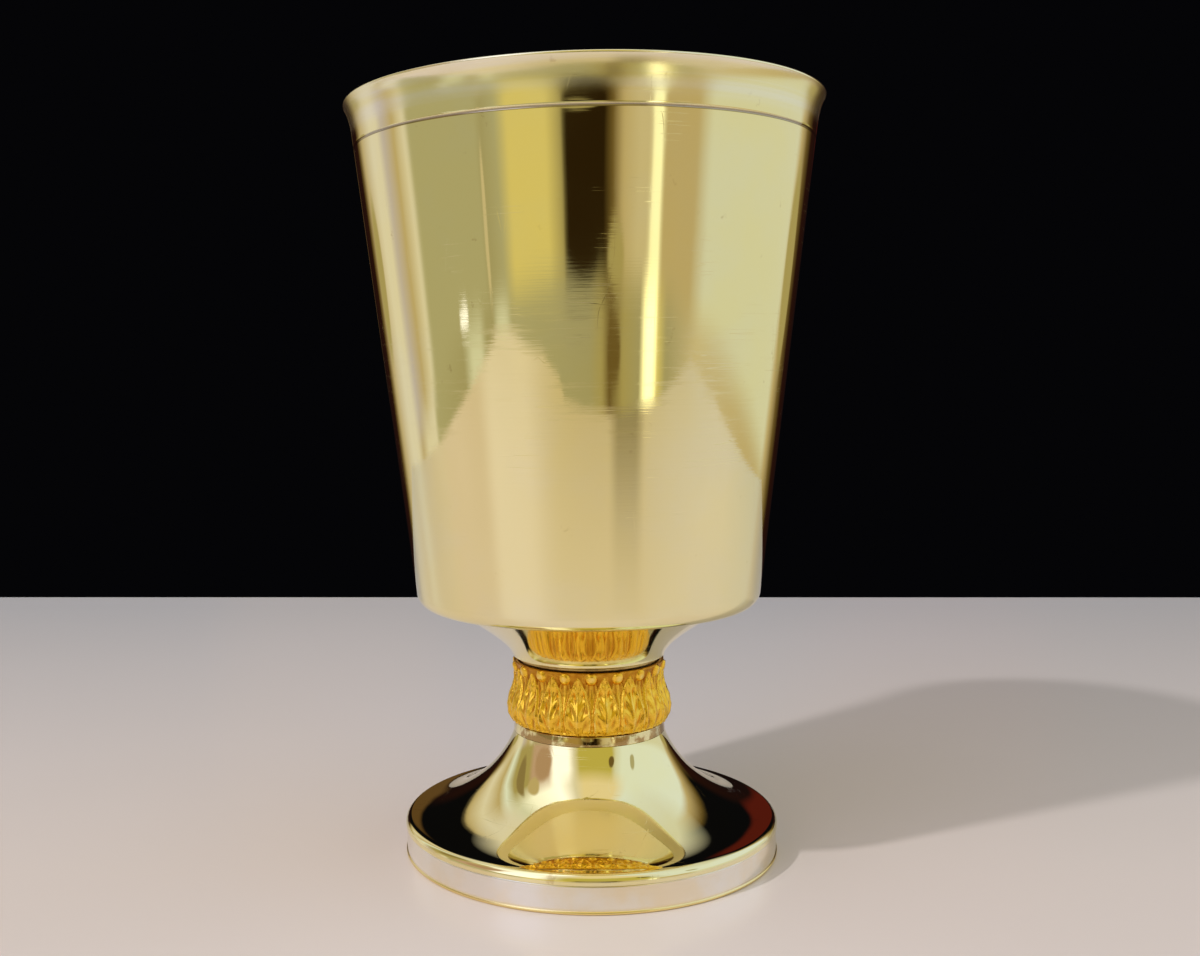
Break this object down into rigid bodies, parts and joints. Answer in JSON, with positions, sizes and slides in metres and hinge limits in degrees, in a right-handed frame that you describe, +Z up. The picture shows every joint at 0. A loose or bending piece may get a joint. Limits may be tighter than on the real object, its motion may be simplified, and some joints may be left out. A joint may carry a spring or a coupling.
{
  "type": "altar cup",
  "caption": "Gilt metal altar cup: tapered open cup with flared lip and engraved line, flared collar, leaf-cast knop, plain ring and trumpet foot with banded rim.",
  "frame": {"origin": "centre of the circle that the foot stands on, at the bottom of the base", "axes": "+Z up along the turning axis, front towards -Y, +X to the right seen from the front"},
  "size_m": [0.1006, 0.1007, 0.1596],
  "materials": {
    "polished_gilt": "mirror-polished pale gilding with fine polishing marks",
    "leaf_gilt": "deep yellow gilding on a cast relief, darker in the recesses",
    "worn_gilt": "gilding worn to a silvery tone",
    "dull_brass": "unpolished brass",
    "plain_steel": "plain machined steel"
  },
  "bodies": {
    "root": {"cup": "polished_gilt", "cup_socket": "dull_brass", "collar": "polished_gilt", "upper_washer": "dull_brass", "knop_band": "leaf_gilt", "knop_drum": "dull_brass", "lower_ring": "polished_gilt", "foot_shell": "polished_gilt", "foot_band": "worn_gilt", "tie_rod": "plain_steel", "foot_washer": "plain_steel", "lock_washer": "plain_steel", "hex_nut": "plain_steel"}
  },
  "joints": []
}
